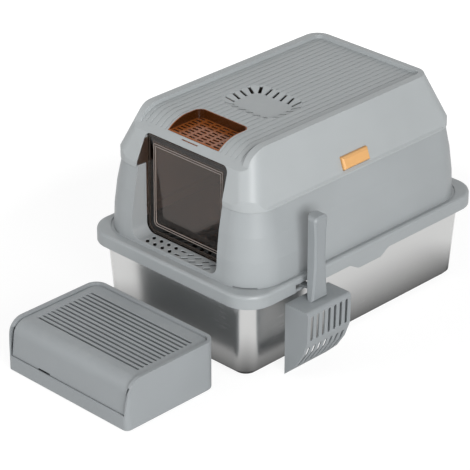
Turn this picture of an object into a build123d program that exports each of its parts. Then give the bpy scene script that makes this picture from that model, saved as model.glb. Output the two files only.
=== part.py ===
"""Hooded litter box with a steel pan, a two-part plastic hood, a scoop and a step.

Millimetres. X is the width (the scoop hangs on +X), Y the length (the entrance
faces -Y) and Z is up. The origin is the middle of the steel pan's underside.
The pan stands on the floor, the lower fence straddles its rim, the upper hood
sits on the fence, and the step is a loose box that stands before the entrance.
"""
from build123d import *
from math import atan, cos, degrees, pi, sin, sqrt
import os

# Steel pan
PAN_HALF_X = 172.5
PAN_HALF_Y = 278.0
PAN_HEIGHT = 171.5
PAN_CORNER = 30.0
PAN_FOOT_BEVEL = 10.0
PAN_DRAFT = 0.057
PAN_SHEET = 0.8
PAN_RIM_WIDTH = 9.5
PAN_LIP_WALL = 1.6
PAN_LIP_DROP = 3.6
PAN_GROW = PAN_DRAFT * PAN_HEIGHT

# Lower fence: skirt and flange
WALL = 2.5
FLANGE_SHEET = 3.5
SKIRT_HALF_X = PAN_HALF_X + PAN_GROW + 22.7
SKIRT_HALF_Y = PAN_HALF_Y + PAN_GROW + 17.0
SKIRT_CORNER = 54.0
SKIRT_WALL = 2.2
SKIRT_TOP = PAN_HEIGHT + FLANGE_SHEET
SKIRT_BOTTOM = SKIRT_TOP - 25.0
SKIRT_SHOULDER = 5.0
SHOULDER_BANDS = 2
CHANNEL_WIDTH = 6.0
CHANNEL_DEPTH = 1.5
RIM_CLEARANCE = 1.0
INNER_TONGUE_DROP = 13.0
TAB_HALF_BOTTOM = 29.0
TAB_HALF_TOP = 51.0
TAB_DROP = 12.5
NOTCH_WIDTH = 50.0
NOTCH_HEIGHT = 15.0
HANGER_WALL = 3.0
HANGER_HEIGHT = 5.0

# Seam outline, shared by the fence and the hood
SEAM_HALF_X = SKIRT_HALF_X - 28.6
SEAM_FRONT = 36.35 - SKIRT_HALF_Y
SEAM_BACK = SKIRT_HALF_Y - 38.75
SEAM_CORNER = 51.6

# Lower fence: wall
FENCE_HEIGHT = 135.5
FENCE_TOP = SKIRT_TOP + FENCE_HEIGHT
FOOT_GROW = 14.3
FENCE_BANDS = 3
TOP_GROW = -2.5
TONGUE_HEIGHT = 3.5
INNER_TONGUE_WALL = 2.2

# Upper hood
HOOD_HEIGHT = 99.5
HOOD_TOP = FENCE_TOP + HOOD_HEIGHT
HOOD_SLOPE = 0.367
LIP_HEIGHT = 3.0
LIP_GAP = 0.4
LIP_BEVEL = 3.0
LIP_LEDGE = 3.5
SLOPE_START = FENCE_TOP + LIP_HEIGHT + LIP_BEVEL
HOOD_CORNER = 32.0
CREASE_Y = SEAM_FRONT + 20.0
PANEL_DEPTH = 7.0
PANEL_Z = HOOD_TOP - PANEL_DEPTH
PANEL_FLAT_START = CREASE_Y + 63.4
BAND_TOP_Y = CREASE_Y + 15.4
BAND_TOP_Z = PANEL_Z - 17.2
RIM_FLAT_START = CREASE_Y + 51.4
RIM_FOOT_Y = CREASE_Y + 9.4
RIM_FOOT_Z = HOOD_TOP - 28.4
RECESS_HALF_X = SEAM_HALF_X - 52.4
RECESS_BACK = SEAM_BACK - 48.5
RECESS_CORNER = 12.0
GROOVE_PITCH = 12.1
GROOVE_WIDTH = 2.6
GROOVE_DEPTH = 0.9
SHELL_BACK_SHIFT = 1.8

# Entrance
SILL = SKIRT_TOP + 5.5
PORCH_WALL = 2.3
ENTRY_HALF_FRONT = 106.4
ENTRY_HALF_BACK = 102.1
ENTRY_HALF_TOP = 100.4
ENTRY_CORNER = 18.0
ENTRY_TOP = HOOD_TOP - 35.0
ENTRY_TOP_CORNER = 13.0
HOLE_COLUMNS = 9
HOLE_PITCH = 18.4
HOLE_LENGTH = 13.5
HOLE_WIDTH = 6.0
HOLE_TURN = 45.0
FIRST_HOLE_ROW = 8.7
HOLE_ROW_PITCH = 16.0

# Flap door and its hinge
DOOR_SIDE_GAP = 1.5
DOOR_TOP_SIDE_GAP = 1.8
DOOR_BOTTOM_GAP = 2.0
DOOR_BOTTOM_CORNER = ENTRY_CORNER - DOOR_SIDE_GAP
DOOR_TOP_CORNER = 9.0
DOOR_SHEET = 2.0
DOOR_RIM_WIDTH = 4.0
DOOR_RIM_PROUD = 1.2
DOOR_FRONT_GAP = 1.8
RIDGE_INSET = 14.5
RIDGE_WIDTH = 4.5
RIDGE_PROUD = 0.8
DOOR_HALF_BOTTOM = ENTRY_HALF_BACK - DOOR_SIDE_GAP
DOOR_HALF_TOP = ENTRY_HALF_TOP - DOOR_TOP_SIDE_GAP
HINGE_Y = CREASE_Y + 4.9
HINGE_Z = ENTRY_TOP - 7.0
DOOR_TOP = HINGE_Z + 3.2
HINGE_BARREL = 2.6
HINGE_PIN = 2.2
HINGE_FIT = 0.05
HINGE_EAR_GAP = 1.0
HINGE_EAR_WIDTH = 5.0
HINGE_EAR_HALF = 5.0
PORCH_BACK = HINGE_Y - DOOR_SHEET / 2 - DOOR_RIM_PROUD - DOOR_FRONT_GAP

# Roof basket
BASKET_HALF_X = 62.0
BASKET_LENGTH = 79.5
BASKET_BACK = BAND_TOP_Y + BASKET_LENGTH
BASKET_CORNER = 16.0
BASKET_FLOOR = BAND_TOP_Z + 0.2
BASKET_SHEET = 2.5
BASKET_WALL = 1.8
BASKET_GAP = 0.5
BASKET_BELOW_PANEL = 0.4
BASKET_LEDGE = 3.5
LEDGE_SHEET = 2.0
WELL_WALL = 2.0
BASKET_COLUMNS = 6
BASKET_ROWS = 8
BASKET_SLOT_SHARE_X = 0.68
BASKET_SLOT_SHARE_Y = 0.48
FINGER_TAB_X = -3.0
FINGER_TAB_WIDTH = 38.0
FINGER_TAB_REACH = 5.5
FINGER_TAB_SHEET = 1.4
FINGER_TAB_GAP = 0.25

# Roof vent
VENT_BEHIND_BASKET = 93.0
VENT_Y = BASKET_BACK + VENT_BEHIND_BASKET
VENT_HALF_X = 67.0
VENT_HALF_Y = 53.5
VENT_CORNER = 36.0
VENT_SLANT = 21.0
VENT_DEPTH = 8.0
VENT_WALL = 2.2
VENT_SLOTS = 20
VENT_SLOT_LENGTH = 18.0
VENT_SLOT_WIDTH = 6.5

# Press latches, one in each side of the hood
LATCH_Y = -5.0
LATCH_LENGTH = 66.0
LATCH_HEIGHT = 21.0
LATCH_BOTTOM = FENCE_TOP + 10.5
LATCH_PROUD = 7.0
LATCH_CORNER = 3.0
LATCH_GAP = 0.5
LATCH_ARM = 2.2
LATCH_SWING_GAP = 3.0
LATCH_TONGUE_WIDTH = 30.0
LATCH_TONGUE_BOTTOM = FENCE_TOP - 4.5
LATCH_PIVOT_RISE = 8.0
LATCH_PIVOT_DEPTH = 4.0
LATCH_PIN = 2.0
LATCH_EAR_GAP = 0.6
LATCH_EAR_WIDTH = 4.0
LATCH_EAR_HALF = 4.0

# Scoop head
SCOOP_Y = -165.0
SCOOP_WIDTH = 108.7
SCOOP_BACK_X = SKIRT_HALF_X + 3.0
SCOOP_DEPTH = 54.0
SCOOP_TOP = SKIRT_BOTTOM - 8.0
SCOOP_LENGTH = 139.0
SCOOP_TIP_Z = SCOOP_TOP - SCOOP_LENGTH
SCOOP_WALL = 2.2
SCOOP_HEEL_ROUND = 7.0
SCOOP_FLOOR_LEAN = 1.5
SCOOP_FLAT_LENGTH = 58.0
SCOOP_TOE_RADIUS = 150.0
SCOOP_TOE_FLATS = 3
SCOOP_SLOTS = 7
SCOOP_SLOT_PITCH = 14.4
SCOOP_SLOT_WIDTH = 6.4
SCOOP_SLOT_START = 8.0
SCOOP_SLOT_LENGTH = 48.0
TOE_SLOT_START = 72.0
TOE_SLOT_LENGTH = 52.0

# Scoop handle
HANDLE_LENGTH = 159.0
HANDLE_TOP = SCOOP_TOP + HANDLE_LENGTH
HANDLE_FLAT_X = SCOOP_BACK_X + 32.0
HANDLE_DEPTH = 24.0
HANDLE_BOW_SHARE = 0.45
HANDLE_HALF_BASE = 20.0
HANDLE_HALF_WAIST = 14.0
HANDLE_HALF_TOP = 17.0
HANDLE_TOP_CORNER = 8.0
HANDLE_EDGE = 3.5
COVER_SHEET = 1.6
COVER_MARGIN = 1.2
COVER_GAP = 0.4
COVER_BOTTOM = SCOOP_TOP + 6.0
COVER_TOP = HANDLE_TOP - 10.0
HOOK_WIDTH = 14.0
HOOK_SHEET = 3.0
HOOK_GAP = 0.5
HOOK_FINGER = 5.0

# Step
STEP_HALF_X = 151.0
STEP_LENGTH = 213.0
STEP_BACK = -SKIRT_HALF_Y - 22.2
STEP_FRONT = STEP_BACK - STEP_LENGTH
STEP_HEIGHT = 95.0
STEP_FRONT_CORNER = 10.0
STEP_BACK_CORNER = 24.0
STEP_WALL = 2.8
STEP_RIM = 7.0
STEP_LEDGE = 5.0
STEP_ROLL_START = STEP_FRONT + 35.0
CHEEK_ROLL_Y = STEP_FRONT + 5.0
CHEEK_ROLL_Z = STEP_HEIGHT - 27.0
FOOT_HEIGHT = 2.0
FOOT_SIZE = 18.0
FOOT_INSET = 24.0

# Step lid
LID_BELOW_RIM = 3.5
LID_SHEET = 2.7
LID_GAP = 2.0
LID_SEAM_Z = 29.0
LID_SEAM_Y = STEP_FRONT + 3.5
LID_CREASE_Y = STEP_FRONT + 8.5
LID_CREASE_Z = STEP_HEIGHT - 29.0
LID_SLOT_PITCH = 10.25
LID_SLOT_SPAN = 123.0
LID_SLOT_BEHIND_ROLL = 17.5
LID_SLOT_END_MARGIN = 15.0
LID_SLOT_WIDTH = 5.0
LID_NOTCH_X = -60.0
LID_NOTCH_WIDTH = 30.0
LID_NOTCH_HEIGHT = 2.5

# Cut corners of slots and pads, as a share of their width
CORNER_CUT = 0.3

# Reach of a cutting tool that has to pass right through
FAR = 400.0


def ring_section(half_x, front, back, corner, z):
    """Rounded rectangle from front to back, lying flat at height z."""
    middle = (front + back) / 2
    return Pos(0, middle, z) * RectangleRounded(2 * half_x, back - front, corner)


def seam_section(grow, z):
    """The seam outline grown outwards by a distance, at height z."""
    return ring_section(SEAM_HALF_X + grow, SEAM_FRONT - grow, SEAM_BACK + grow,
                        SEAM_CORNER + grow, z)


def prism(section, height):
    """Straight block that stands on a flat section."""
    return extrude(section, height, dir=(0, 0, 1))


def banded(section, levels):
    """Block of drafted bands through (height, growth) levels of a flat section."""
    body = Part()
    for (low, first), (high, last) in zip(levels, levels[1:]):
        draft = degrees(atan((first - last) / (high - low)))
        body += extrude(section(first, low), high - low, taper=draft)
    return body


def edge_round(radius, bands):
    """Rounded edge as (inset from the wall, distance from the end face) points."""
    angles = [pi / 2 * i / bands for i in range(bands + 1)]
    return [(radius - radius * cos(angle), radius - radius * sin(angle)) for angle in angles]


def cut_corners(length, width):
    """Flat outline along X with cut corners."""
    plan = Rectangle(length, width)
    return chamfer(plan.vertices(), CORNER_CUT * width)


def side_prism(outline, half_width):
    """Block with a side outline of (y, z) edges, carried along X both ways."""
    face = make_face(Plane.YZ * outline)
    return extrude(face, half_width, both=True)


def fence_grow(z):
    """How far the fence wall stands outside the seam outline at height z."""
    rise = (z - SKIRT_TOP) / FENCE_HEIGHT
    return FOOT_GROW + (TOP_GROW - FOOT_GROW) * rise ** 2


def pan_section(grow, z):
    """The pan's top outline grown outwards by a distance, at height z."""
    edge = PAN_GROW + grow
    return ring_section(PAN_HALF_X + edge, -PAN_HALF_Y - edge, PAN_HALF_Y + edge,
                        PAN_CORNER + grow, z)


def drafted(section, height, slope, corner):
    """Block that narrows upwards from a square-cornered section, with round upright edges."""
    block = extrude(section, height, taper=degrees(atan(slope)))
    ends = block.edges().group_by(Axis.Z)
    return fillet(ends[1], corner)


def pan_body(inset):
    """The pan's drafted block with a bevelled foot, pulled inwards by a distance."""
    half_x = PAN_HALF_X + PAN_GROW - inset
    half_y = PAN_HALF_Y + PAN_GROW - inset
    block = drafted(Rectangle(2 * half_x, 2 * half_y), PAN_HEIGHT - inset, PAN_DRAFT, PAN_CORNER - inset)
    foot = block.faces().sort_by(Axis.Z)[-1]
    block = chamfer(foot.edges(), PAN_FOOT_BEVEL - (2 - sqrt(2)) * inset)
    return Pos(0, 0, PAN_HEIGHT) * Rot(180, 0, 0) * block


def build_pan():
    """Deep-drawn tray with drafted sides, a bevelled foot and a turned-down rim."""
    def rim_ring(inner, height):
        z = PAN_HEIGHT - height
        return prism(pan_section(PAN_RIM_WIDTH, z), height) - prism(pan_section(inner, z), height)

    tray = pan_body(0) - pan_body(PAN_SHEET)
    lip = rim_ring(PAN_RIM_WIDTH - PAN_LIP_WALL, PAN_LIP_DROP)
    return tray + (rim_ring(-PAN_SHEET / 2, PAN_SHEET) + lip)


def fence_body(inset):
    """The flared fence wall as a solid, pulled inwards by a distance."""
    heights = [SKIRT_TOP + FENCE_HEIGHT * i / FENCE_BANDS for i in range(FENCE_BANDS + 1)]
    return banded(seam_section, [(z, fence_grow(z) - inset) for z in heights])


def porch_body(grow):
    """The entrance alcove: a round-cornered trough that narrows towards the door."""
    front = ENTRY_HALF_FRONT + grow
    back = ENTRY_HALF_BACK + grow
    plan = make_face(Polyline((-front, -SKIRT_HALF_Y), (front, -SKIRT_HALF_Y),
                              (back, PORCH_BACK), (-back, PORCH_BACK), close=True))
    block = prism(Pos(0, 0, SILL - grow) * plan, FENCE_HEIGHT + grow)
    low = block.edges().group_by(Axis.Z)[0].filter_by(Axis.X, reverse=True)
    return fillet(low, ENTRY_CORNER + grow)


def skirt_tab(side):
    """Grip tab that hangs from the skirt's lower edge."""
    outline = Polyline((-TAB_HALF_TOP, SKIRT_BOTTOM), (-TAB_HALF_BOTTOM, SKIRT_BOTTOM - TAB_DROP),
                       (TAB_HALF_BOTTOM, SKIRT_BOTTOM - TAB_DROP), (TAB_HALF_TOP, SKIRT_BOTTOM),
                       close=True)
    face = make_face(Plane.YZ * outline)
    tab = Pos(side * (SKIRT_HALF_X - SKIRT_WALL / 2), 0, 0) * extrude(face, SKIRT_WALL / 2, both=True)
    return tab


def skirt_section(grow, z):
    """The skirt's outline grown outwards by a distance, at height z."""
    return ring_section(SKIRT_HALF_X + grow, -SKIRT_HALF_Y - grow, SKIRT_HALF_Y + grow,
                        SKIRT_CORNER + grow, z)


def build_flange():
    """Skirt that hangs over the pan's rim, with its plate, channel and inner tongue."""
    levels = [(SKIRT_BOTTOM, 0)]
    levels += [(SKIRT_TOP - drop, -inset) for inset, drop in edge_round(SKIRT_SHOULDER, SHOULDER_BANDS)]
    skirt = banded(skirt_section, levels)
    channel_z = SKIRT_TOP - CHANNEL_DEPTH
    channel = (prism(seam_section(FOOT_GROW + CHANNEL_WIDTH, channel_z), WALL)
               - prism(seam_section(FOOT_GROW, channel_z), WALL))
    under = prism(skirt_section(-SKIRT_WALL, SKIRT_BOTTOM), PAN_HEIGHT - SKIRT_BOTTOM)
    tongue_z = PAN_HEIGHT - INNER_TONGUE_DROP
    outer = PAN_DRAFT * (tongue_z - PAN_HEIGHT) - PAN_SHEET - RIM_CLEARANCE
    inner = outer - INNER_TONGUE_WALL
    tongue = (prism(pan_section(outer, tongue_z), INNER_TONGUE_DROP)
              - prism(pan_section(inner, tongue_z), INNER_TONGUE_DROP))
    foot = FOOT_GROW - WALL
    mouth = prism(ring_section(PAN_HALF_X + PAN_GROW + inner, SEAM_FRONT - foot, SEAM_BACK + foot,
                               PAN_CORNER + inner, PAN_HEIGHT), FLANGE_SHEET)
    return skirt - channel - under - mouth + tongue + skirt_tab(-1) + skirt_tab(1)


def build_fence():
    """Skirt, flange, flared wall and porch, moulded in one piece."""
    neck = prism(seam_section(TOP_GROW, FENCE_TOP), TONGUE_HEIGHT)
    throat = prism(seam_section(TOP_GROW - WALL, FENCE_TOP), TONGUE_HEIGHT)
    solid_wall = fence_body(0) + neck
    wall = solid_wall - fence_body(WALL) - throat
    porch = porch_body(PORCH_WALL) & solid_wall
    fence = build_flange() + (wall + porch - porch_body(0))
    return fence - porch_holes() - skirt_notch() + hanger_bar()


def porch_holes():
    """Two rows of slanted drain slots in the porch floor."""
    middle = (HOLE_COLUMNS - 1) / 2
    holes = []
    first = SEAM_FRONT - FOOT_GROW + FIRST_HOLE_ROW
    for y in (first, first + HOLE_ROW_PITCH):
        for column in range(HOLE_COLUMNS):
            side = column - middle
            angle = HOLE_TURN if side > 0 else -HOLE_TURN if side < 0 else 0
            place = Pos(side * HOLE_PITCH, y, SILL) * Rot(0, 0, angle)
            holes.append(extrude(place * cut_corners(HOLE_LENGTH, HOLE_WIDTH), 2 * WALL, both=True))
    return Part() + holes


def skirt_notch():
    """Gap in the skirt through which the scoop's hook reaches in."""
    block = Box(HANGER_WALL + SKIRT_SHOULDER, NOTCH_WIDTH, NOTCH_HEIGHT)
    return Pos(SKIRT_HALF_X, SCOOP_Y, SKIRT_BOTTOM + NOTCH_HEIGHT / 2) * block


def hanger_bar():
    """Bar set back in the notch, which carries the scoop."""
    inner = SKIRT_HALF_X - SKIRT_WALL
    bar = Box(HANGER_WALL, NOTCH_WIDTH + 2 * SKIRT_WALL, HANGER_HEIGHT)
    return Pos(inner - HANGER_WALL / 2, SCOOP_Y, SKIRT_BOTTOM + HANGER_HEIGHT / 2) * bar


def front_y(z):
    """Where the hood's front plane lies at height z."""
    return CREASE_Y + HOOD_SLOPE * (z - ENTRY_TOP)


def hood_side_x(z):
    """Half width of the hood's sloping side walls at height z."""
    return SEAM_HALF_X - LIP_LEDGE - HOOD_SLOPE * (z - SLOPE_START)


def hood_slopes(low, inset):
    """The hood's sloping walls as a solid from a height up, pulled inwards by a distance."""
    half_x = hood_side_x(low) - inset
    front = front_y(low) + inset
    back = SEAM_BACK - SEAM_HALF_X + half_x
    section = Pos(0, (front + back) / 2, low) * Rectangle(2 * half_x, back - front)
    return drafted(section, HOOD_TOP - low, HOOD_SLOPE, HOOD_CORNER - inset)


def hood_outside():
    """The hood's lip and sloping walls as a solid block."""
    lip_top = FENCE_TOP + LIP_HEIGHT
    lip = banded(seam_section, [(FENCE_TOP, 0), (lip_top, 0), (SLOPE_START, -LIP_LEDGE)])
    return lip + (hood_slopes(lip_top, 0) & prism(seam_section(0, FENCE_TOP), HOOD_HEIGHT))


def hood_inside():
    """The space between the hood's walls, with a ledge left over the fence's tongue."""
    return hood_slopes(FENCE_TOP, WALL) & prism(seam_section(-WALL, FENCE_TOP), HOOD_HEIGHT)


def panel_curve(shift_y=0, shift_z=0):
    """Ribbed panel seen from the side: brow, round front and long flat roof."""
    def at(y, z):
        return (y + shift_y, z + shift_z)

    brow = Line(at(CREASE_Y, ENTRY_TOP), at(BAND_TOP_Y, BAND_TOP_Z))
    round_front = TangentArc(at(PANEL_FLAT_START, PANEL_Z), at(BAND_TOP_Y, BAND_TOP_Z), tangent=(-1, 0))
    flat = Line(at(PANEL_FLAT_START, PANEL_Z), at(FAR, PANEL_Z))
    return [brow, round_front, flat]


def rim_curve(shift_y=0, shift_z=0):
    """Rim seen from the side: the brow's foot, a tight round front and the flat top."""
    def at(y, z):
        return (y + shift_y, z + shift_z)

    brow = Line(at(CREASE_Y, ENTRY_TOP), at(RIM_FOOT_Y, RIM_FOOT_Z))
    round_front = TangentArc(at(RIM_FLAT_START, HOOD_TOP), at(RIM_FOOT_Y, RIM_FOOT_Z), tangent=(-1, 0))
    flat = Line(at(RIM_FLAT_START, HOOD_TOP), at(FAR, HOOD_TOP))
    return [brow, round_front, flat]


def below(curve, half_width):
    """Everything under a side curve."""
    start = curve[0] @ 0
    end = curve[2] @ 1
    loop = Polyline((start.X, start.Y), (start.X - FAR, start.Y), (start.X - FAR, 0), (end.X, 0),
                    (end.X, end.Y))
    return side_prism(Curve() + curve + loop, half_width)


def above(curve, half_width):
    """Everything over a side curve."""
    start = curve[0] @ 0
    end = curve[2] @ 1
    loop = Polyline((start.X, start.Y), (start.X, 2 * HOOD_TOP), (end.X, 2 * HOOD_TOP),
                    (end.X, end.Y))
    return side_prism(Curve() + curve + loop, half_width)


def roof_recess(grow, curve):
    """The sunk roof panel's space, open at the front where it runs out on the brow."""
    plan = ring_section(RECESS_HALF_X + grow, -FAR, RECESS_BACK + grow, RECESS_CORNER + grow, 0)
    return above(curve, RECESS_HALF_X + grow) & prism(plan, 2 * HOOD_TOP)


def roof_grooves():
    """Shallow parallel grooves that follow the panel from the brow to the back."""
    upper = panel_curve(0, GROOVE_DEPTH)
    lower = panel_curve(0, -GROOVE_DEPTH)
    strip = above(lower, GROOVE_WIDTH / 2) & below(upper, GROOVE_WIDTH)
    strip = strip & Pos(0, (BAND_TOP_Y + RECESS_BACK) / 2, HOOD_TOP) * Box(
        GROOVE_WIDTH, RECESS_BACK - BAND_TOP_Y, HOOD_TOP)
    count = int((2 * RECESS_HALF_X - GROOVE_PITCH) / GROOVE_PITCH) + 1
    first = -(count - 1) / 2 * GROOVE_PITCH
    return [Pos(first + i * GROOVE_PITCH, 0, 0) * strip for i in range(count)]


def hood_entry():
    """Cutter for the upper part of the entrance, narrowing to its round top corners."""
    outline = Polyline((-ENTRY_HALF_FRONT, FENCE_TOP - WALL), (ENTRY_HALF_FRONT, FENCE_TOP - WALL),
                       (ENTRY_HALF_TOP, ENTRY_TOP), (-ENTRY_HALF_TOP, ENTRY_TOP), close=True)
    face = make_face(outline)
    face = fillet(face.vertices().group_by(Axis.Y)[-1], ENTRY_TOP_CORNER)
    depth = HINGE_Y - SEAM_FRONT + 2 * WALL
    return extrude(Plane.XZ.offset(-HINGE_Y) * face, depth, dir=(0, -1, 0))


def vent_section(grow, z):
    """The vent's mouth grown outwards by a distance, at height z."""
    return ring_section(VENT_HALF_X + grow, VENT_Y - VENT_HALF_Y - grow,
                        VENT_Y + VENT_HALF_Y + grow, VENT_CORNER + grow, z)


def vent_bowl(grow, drop):
    """The vent's dished space between its mouth and its flat plate."""
    mouth_z = PANEL_Z - drop
    return banded(vent_section, [(mouth_z - VENT_DEPTH, grow - VENT_SLANT), (mouth_z, grow)])


def vent_slots():
    """Slots fanned round the vent, each square to the ring's middle line."""
    path = vent_section(-VENT_SLANT / 2, PANEL_Z).wire()
    slots = []
    for i in range(VENT_SLOTS):
        share = (i + 0.5) / VENT_SLOTS
        spot = path.position_at(share)
        along = path.tangent_at(share)
        place = Plane(origin=spot, x_dir=along.cross(Vector(0, 0, 1)), z_dir=(0, 0, 1))
        slots.append(extrude(place * Rectangle(VENT_SLOT_LENGTH, VENT_SLOT_WIDTH),
                             2 * VENT_DEPTH, both=True))
    return slots


def basket_plan(grow, z):
    """The basket opening: square at the front, round at the back corners."""
    front = BAND_TOP_Y - grow
    back = BASKET_BACK + grow
    plan = Rectangle(2 * (BASKET_HALF_X + grow), back - front)
    plan = fillet(plan.vertices().group_by(Axis.Y)[-1], BASKET_CORNER + grow)
    return Pos(0, (front + back) / 2, z) * plan


def finger_tab(gap):
    """The basket's finger tab, which lies flush on the brow."""
    slope = (BAND_TOP_Z - ENTRY_TOP) / (BAND_TOP_Y - CREASE_Y)
    reach = FINGER_TAB_REACH + gap
    thickness = FINGER_TAB_SHEET + gap
    front = BAND_TOP_Y - reach
    back = BAND_TOP_Y + BASKET_GAP + BASKET_WALL
    z_front = BAND_TOP_Z - slope * reach
    z_back = BAND_TOP_Z + gap
    outline = Polyline((front, z_front + gap), (back, z_back), (back, z_back - thickness - gap),
                       (front, z_front - thickness), close=True)
    tab = side_prism(outline, FINGER_TAB_WIDTH / 2 + gap)
    return Pos(FINGER_TAB_X, 0, 0) * tab


def basket_well():
    """Walls and inward ledge under the roof opening, which carry the basket."""
    ledge_z = BASKET_FLOOR - BASKET_SHEET - LEDGE_SHEET
    block = prism(basket_plan(WELL_WALL, ledge_z), HOOD_TOP - ledge_z)
    hole = prism(basket_plan(-BASKET_LEDGE, ledge_z), HOOD_TOP - ledge_z)
    return (block - hole) & below(panel_curve(), FAR)


def hinge_ears():
    """Two ears behind the front wall that carry the door's pins."""
    ears = Part()
    height = 4 * HINGE_EAR_HALF
    for side in (-1, 1):
        x = side * (DOOR_HALF_TOP + HINGE_EAR_GAP + HINGE_EAR_WIDTH / 2)
        ears += Pos(x, HINGE_Y, HINGE_Z - HINGE_EAR_HALF + height / 2) * Box(
            HINGE_EAR_WIDTH, 2 * HINGE_EAR_HALF, height)
    return ears


def hinge_notches():
    """Bearing notches for the door's two pins, open towards the back."""
    gap = HINGE_PIN + HINGE_FIT
    depth = gap + 2 * HINGE_EAR_HALF
    length = 2 * (DOOR_HALF_TOP + HINGE_EAR_GAP + HINGE_EAR_WIDTH + WALL)
    return Pos(0, HINGE_Y + depth / 2 - gap, HINGE_Z) * Box(length, depth, 2 * gap)


def latch_window():
    """Hole in the right side wall for the latch button, with room below for its swing."""
    low = LATCH_BOTTOM - LATCH_SWING_GAP
    high = LATCH_BOTTOM + LATCH_HEIGHT + LATCH_GAP
    block = Box(8 * LATCH_PROUD, LATCH_LENGTH + 2 * LATCH_GAP, high - low)
    return Pos(hood_side_x(high), LATCH_Y, (low + high) / 2) * block


def build_hood():
    """Upper hood with its sunk ribbed roof, vent, basket well and entrance."""
    outer = hood_outside() & below(rim_curve(), FAR)
    inner = hood_inside() & below(rim_curve(SHELL_BACK_SHIFT, -WALL), FAR)
    inner = inner - roof_recess(WALL, panel_curve(SHELL_BACK_SHIFT, -WALL))
    socket = prism(seam_section(LIP_GAP + TOP_GROW, FENCE_TOP), TONGUE_HEIGHT)
    ears = latch_ears()
    window = latch_window()
    hood = outer - roof_recess(0, panel_curve()) - inner
    hood += [hinge_ears() & outer, basket_well() & outer,
             vent_bowl(VENT_WALL, VENT_WALL) & outer, ears & outer, mirror(ears, about=Plane.YZ) & outer]
    hood -= [vent_bowl(0, 0)] + vent_slots() + roof_grooves()
    hood -= [prism(basket_plan(0, BASKET_FLOOR - BASKET_SHEET), HOOD_TOP),
             finger_tab(FINGER_TAB_GAP), hood_entry(), hinge_notches(), socket,
             window, mirror(window, about=Plane.YZ)]
    return hood


def build_basket():
    """Drop-in roof basket with a slotted floor and a finger tab."""
    low = BASKET_FLOOR - BASKET_SHEET
    body = prism(basket_plan(-BASKET_GAP, low), HOOD_TOP - low)
    body = body & below(panel_curve(0, -BASKET_BELOW_PANEL), FAR)
    body -= prism(basket_plan(-BASKET_GAP - BASKET_WALL, BASKET_FLOOR), HOOD_TOP)
    body += finger_tab(0) & Pos(0, BAND_TOP_Y, 0) * Box(FAR, 2 * FINGER_TAB_REACH + BASKET_WALL, 2 * FAR)
    pitch_x = (2 * BASKET_HALF_X - 2 * BASKET_LEDGE) / BASKET_COLUMNS
    pitch_y = (BASKET_BACK - BAND_TOP_Y - 2 * BASKET_LEDGE) / BASKET_ROWS
    slot = Box(BASKET_SLOT_SHARE_X * pitch_x, BASKET_SLOT_SHARE_Y * pitch_y, 4 * BASKET_SHEET)
    slots = []
    for row in range(BASKET_ROWS):
        for column in range(BASKET_COLUMNS):
            x = (column - (BASKET_COLUMNS - 1) / 2) * pitch_x
            y = BAND_TOP_Y + BASKET_LEDGE + (row + 0.5) * pitch_y
            slots.append(Pos(x, y, BASKET_FLOOR) * slot)
    return body - slots


def door_face(inset):
    """Door outline, pulled inwards by a distance, in the door's upright plane."""
    low = SILL + DOOR_BOTTOM_GAP
    face = make_face(Polyline((-DOOR_HALF_BOTTOM, low), (DOOR_HALF_BOTTOM, low),
                              (DOOR_HALF_TOP, DOOR_TOP), (-DOOR_HALF_TOP, DOOR_TOP), close=True))
    face = fillet(face.vertices().group_by(Axis.Y)[0], DOOR_BOTTOM_CORNER)
    face = fillet(face.vertices().group_by(Axis.Y)[-1], DOOR_TOP_CORNER)
    if inset:
        face = offset(face, -inset)
    return face


def door_plate(face, front, thickness):
    """Plate of a given face, whose front lies a distance before the hinge line."""
    return extrude(Plane.XZ.offset(front - HINGE_Y) * face, thickness, dir=(0, 1, 0))


def build_door():
    """Smoked flap with a raised edge, a raised ridge, a hinge barrel and two pins."""
    half = DOOR_SHEET / 2
    door = door_plate(door_face(0), half, DOOR_SHEET)
    frame = door_face(0) - door_face(DOOR_RIM_WIDTH)
    door += door_plate(frame, half + DOOR_RIM_PROUD, DOOR_RIM_PROUD)
    ridge = door_face(RIDGE_INSET) - door_face(RIDGE_INSET + RIDGE_WIDTH)
    door += door_plate(ridge, half + RIDGE_PROUD, RIDGE_PROUD)
    barrel_half = DOOR_HALF_TOP - DOOR_TOP_CORNER / 2
    pin_half = DOOR_HALF_TOP + HINGE_EAR_GAP + HINGE_EAR_WIDTH
    barrel = Cylinder(HINGE_BARREL, 2 * barrel_half, rotation=(0, 90, 0))
    pins = Cylinder(HINGE_PIN, 2 * pin_half, rotation=(0, 90, 0))
    return door + Pos(0, HINGE_Y, HINGE_Z) * (barrel + pins)


def latch_pivot():
    """Place of the latch's pivot line behind the hood's side wall, as (x, z)."""
    z = LATCH_BOTTOM + LATCH_HEIGHT + LATCH_PIVOT_RISE
    return hood_side_x(z) - WALL - LATCH_PIVOT_DEPTH, z


def latch_ears():
    """Ears on the right side wall whose open notches carry the latch's pivot bar."""
    x, z = latch_pivot()
    ears = Part()
    for end in (-1, 1):
        y = LATCH_Y + end * (LATCH_LENGTH / 2 + LATCH_EAR_GAP + LATCH_EAR_WIDTH / 2)
        ears += Pos(x + LATCH_EAR_HALF / 2, y, z) * Box(3 * LATCH_EAR_HALF, LATCH_EAR_WIDTH,
                                                         2 * LATCH_EAR_HALF)
    length = LATCH_LENGTH + 4 * LATCH_EAR_WIDTH
    gap = LATCH_PIN + HINGE_FIT
    notch = Pos(0, 0, LATCH_EAR_HALF / 2) * Box(2 * gap, length, LATCH_EAR_HALF + 2 * gap)
    return ears - Pos(x, LATCH_Y, z) * notch


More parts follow.
